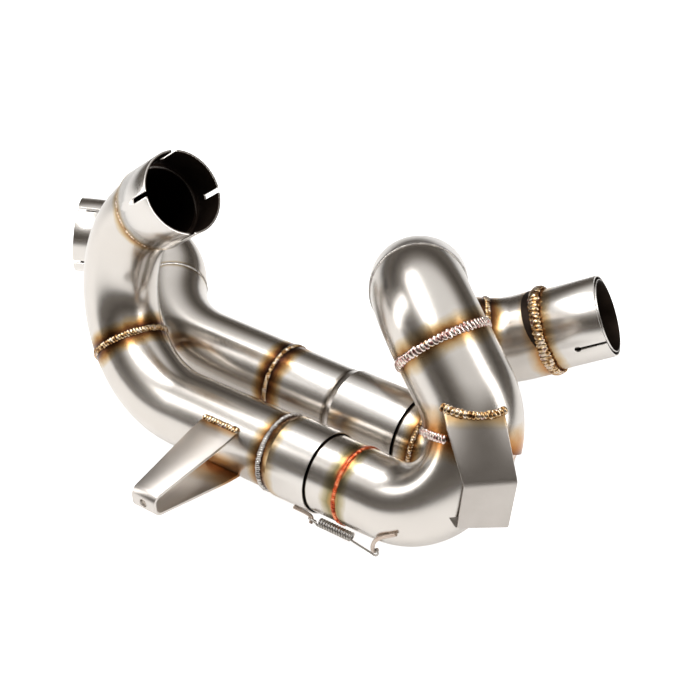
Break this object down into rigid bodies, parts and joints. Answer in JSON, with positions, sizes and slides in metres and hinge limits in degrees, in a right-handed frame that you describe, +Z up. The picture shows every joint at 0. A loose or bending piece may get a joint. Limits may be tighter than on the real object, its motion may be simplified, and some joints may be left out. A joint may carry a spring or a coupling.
{
  "type": "exhaust link pipe",
  "caption": "Stainless motorbike link pipe: two bent headers with slotted inlets, slip joints held by springs, a collector that loops up to a slotted outlet, and two mounting brackets.",
  "frame": {"origin": "centre of the bounding box at its base, where the pipe rests on a floor", "axes": "+X along the two straight header legs towards the collector, -Y towards the side with the left bracket, +Z up"},
  "size_m": [0.4506, 0.3308, 0.1924],
  "materials": {
    "pipe_steel": "satin stainless tube, brushed round, heat tinted at the welds",
    "socket_steel": "machined stainless socket, fine brushed",
    "sleeve_steel": "expanded stainless tube end, satin",
    "sooted_steel": "stainless inner tube, sooted dark inside",
    "weld_gold": "stacked weld ripples, straw gold to brown",
    "weld_copper": "fine weld line, copper red",
    "weld_rose": "fat weld ripples, rose and silver",
    "weld_silver": "fine weld ripples, bare grey",
    "left_bracket_steel": "brushed stainless sheet, brown heat tint inside",
    "right_bracket_steel": "brushed stainless sheet",
    "spring_steel": "bright drawn spring wire",
    "hook_steel": "drawn stainless wire, tinted at its foot"
  },
  "bodies": {
    "root": {"front_inlet_socket": "socket_steel", "front_inlet_weld": "weld_gold", "front_upper_elbow": "pipe_steel", "front_elbow_weld": "weld_gold", "front_lower_elbow": "pipe_steel", "front_sleeve_weld": "weld_gold", "front_slip_sleeve": "sleeve_steel", "front_spigot": "pipe_steel", "front_spigot_weld": "weld_copper", "front_collector_elbow": "pipe_steel", "rear_inlet_socket": "socket_steel", "rear_inlet_weld": "weld_gold", "rear_upper_elbow": "pipe_steel", "rear_elbow_weld": "weld_silver", "rear_lower_elbow": "pipe_steel", "rear_sleeve_weld": "weld_gold", "rear_slip_sleeve": "sleeve_steel", "rear_spigot": "pipe_steel", "rear_spigot_weld": "weld_gold", "rear_collector_elbow": "pipe_steel", "collector_weld": "weld_rose", "collector_riser": "pipe_steel", "riser_weld": "weld_rose", "riser_top_elbow": "pipe_steel", "top_weld": "weld_silver", "return_elbow": "pipe_steel", "return_weld": "weld_gold", "cross_elbow": "pipe_steel", "cross_weld": "weld_gold", "outlet_elbow": "pipe_steel", "outlet_weld": "weld_gold", "outlet_socket": "socket_steel", "outlet_inner_tube": "sooted_steel", "left_bracket": "left_bracket_steel", "left_bracket_weld": "weld_gold", "right_bracket": "right_bracket_steel", "right_bracket_weld": "weld_gold", "front_spring": "spring_steel", "front_sleeve_hook": "hook_steel", "front_elbow_hook": "hook_steel", "rear_spring": "spring_steel", "rear_sleeve_hook": "hook_steel", "rear_elbow_hook": "hook_steel"}
  },
  "joints": []
}
